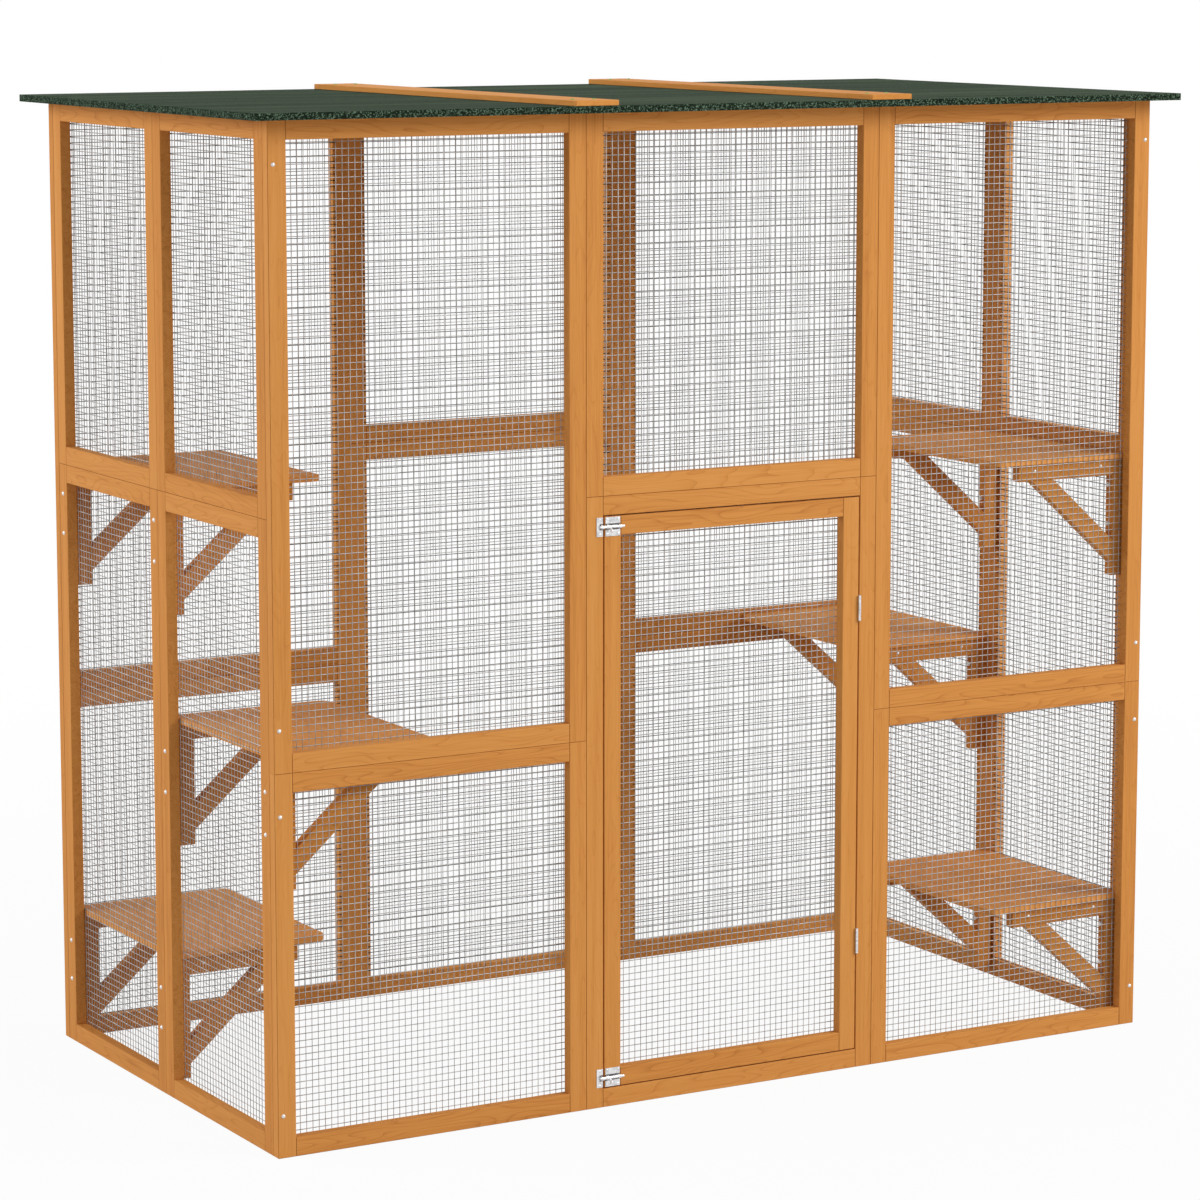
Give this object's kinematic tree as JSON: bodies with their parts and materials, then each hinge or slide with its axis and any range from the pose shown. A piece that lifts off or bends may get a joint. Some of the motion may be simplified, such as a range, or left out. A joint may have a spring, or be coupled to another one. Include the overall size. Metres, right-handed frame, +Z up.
{
  "type": "outdoor cat enclosure",
  "caption": "Walk-in outdoor cat enclosure of stained timber frames and wire mesh, with a flat felted roof, bracketed shelves on both end walls and a hinged door with barrel bolts",
  "frame": {"origin": "on the ground, under the middle of the roof", "axes": "+X along the front towards the hinged edge of the door, +Y from the door to the back, +Z up"},
  "size_m": [1.795, 0.962, 1.6948],
  "materials": {
    "frame_timber": "satin orange stain",
    "bracket_timber": "satin orange stain",
    "shelf_timber": "satin orange stain",
    "batten_timber": "satin orange stain",
    "roof_board": "bare board",
    "roof_felt": "matt mineral granules",
    "wire_mesh": "galvanised",
    "zinc_fittings": "bright zinc",
    "screws": "bright zinc"
  },
  "bodies": {
    "enclosure": {"arm_screws": "screws", "back_centre_lower_frame": "frame_timber", "back_centre_upper_frame": "frame_timber", "back_left_lower_frame": "frame_timber", "back_left_upper_frame": "frame_timber", "back_mesh": "wire_mesh", "back_right_lower_frame": "frame_timber", "back_right_upper_frame": "frame_timber", "batten_screws": "screws", "bolt_keepers": "zinc_fittings", "bracket_bolts": "screws", "bracket_nuts": "screws", "centre_roof_board": "roof_board", "corner_screws": "screws", "door_surround_frame": "frame_timber", "frame_hinge_screws": "zinc_fittings", "front_centre_upper_frame": "frame_timber", "front_left_lower_frame": "frame_timber", "front_left_upper_frame": "frame_timber", "front_mesh": "wire_mesh", "front_right_lower_frame": "frame_timber", "front_right_upper_frame": "frame_timber", "hinge_frame_leaves": "zinc_fittings", "hinge_pins": "zinc_fittings", "keeper_screws": "zinc_fittings", "left_bottom_brackets": "bracket_timber", "left_bottom_shelf": "shelf_timber", "left_front_lower_frame": "frame_timber", "left_front_upper_frame": "frame_timber", "left_mesh": "wire_mesh", "left_middle_brackets": "bracket_timber", "left_middle_shelf": "shelf_timber", "left_rear_lower_frame": "frame_timber", "left_rear_upper_frame": "frame_timber", "left_roof_board": "roof_board", "left_top_brackets": "bracket_timber", "left_top_shelf": "shelf_timber", "right_bottom_brackets": "bracket_timber", "right_bottom_shelf": "shelf_timber", "right_front_lower_frame": "frame_timber", "right_front_upper_frame": "frame_timber", "right_mesh": "wire_mesh", "right_middle_brackets": "bracket_timber", "right_middle_shelf": "shelf_timber", "right_rear_lower_frame": "frame_timber", "right_rear_upper_frame": "frame_timber", "right_roof_board": "roof_board", "right_top_brackets": "bracket_timber", "right_top_shelf": "shelf_timber", "roof_battens": "batten_timber", "roof_felts": "roof_felt"},
    "door": {"door_frame": "frame_timber", "door_mesh": "wire_mesh", "hinge_door_leaves": "zinc_fittings", "door_hinge_screws": "zinc_fittings", "bolt_plates": "zinc_fittings", "bolt_plate_screws": "zinc_fittings"},
    "upper_bolt": {"upper_bolt_rod": "zinc_fittings"},
    "lower_bolt": {"lower_bolt_rod": "zinc_fittings"}
  },
  "joints": [
    {"name": "door_hinge", "type": "hinge", "parent": "enclosure", "child": "door", "pos_m": [0.2534, -0.4457, 0.52], "axis": [0, 0, 1], "range_deg": [0, 170]},
    {"name": "upper_bolt_slide", "type": "slide", "parent": "door", "child": "upper_bolt", "axis": [1, 0, 0], "range_m": [0, 0.014]},
    {"name": "lower_bolt_slide", "type": "slide", "parent": "door", "child": "lower_bolt", "axis": [1, 0, 0], "range_m": [0, 0.014]}
  ]
}
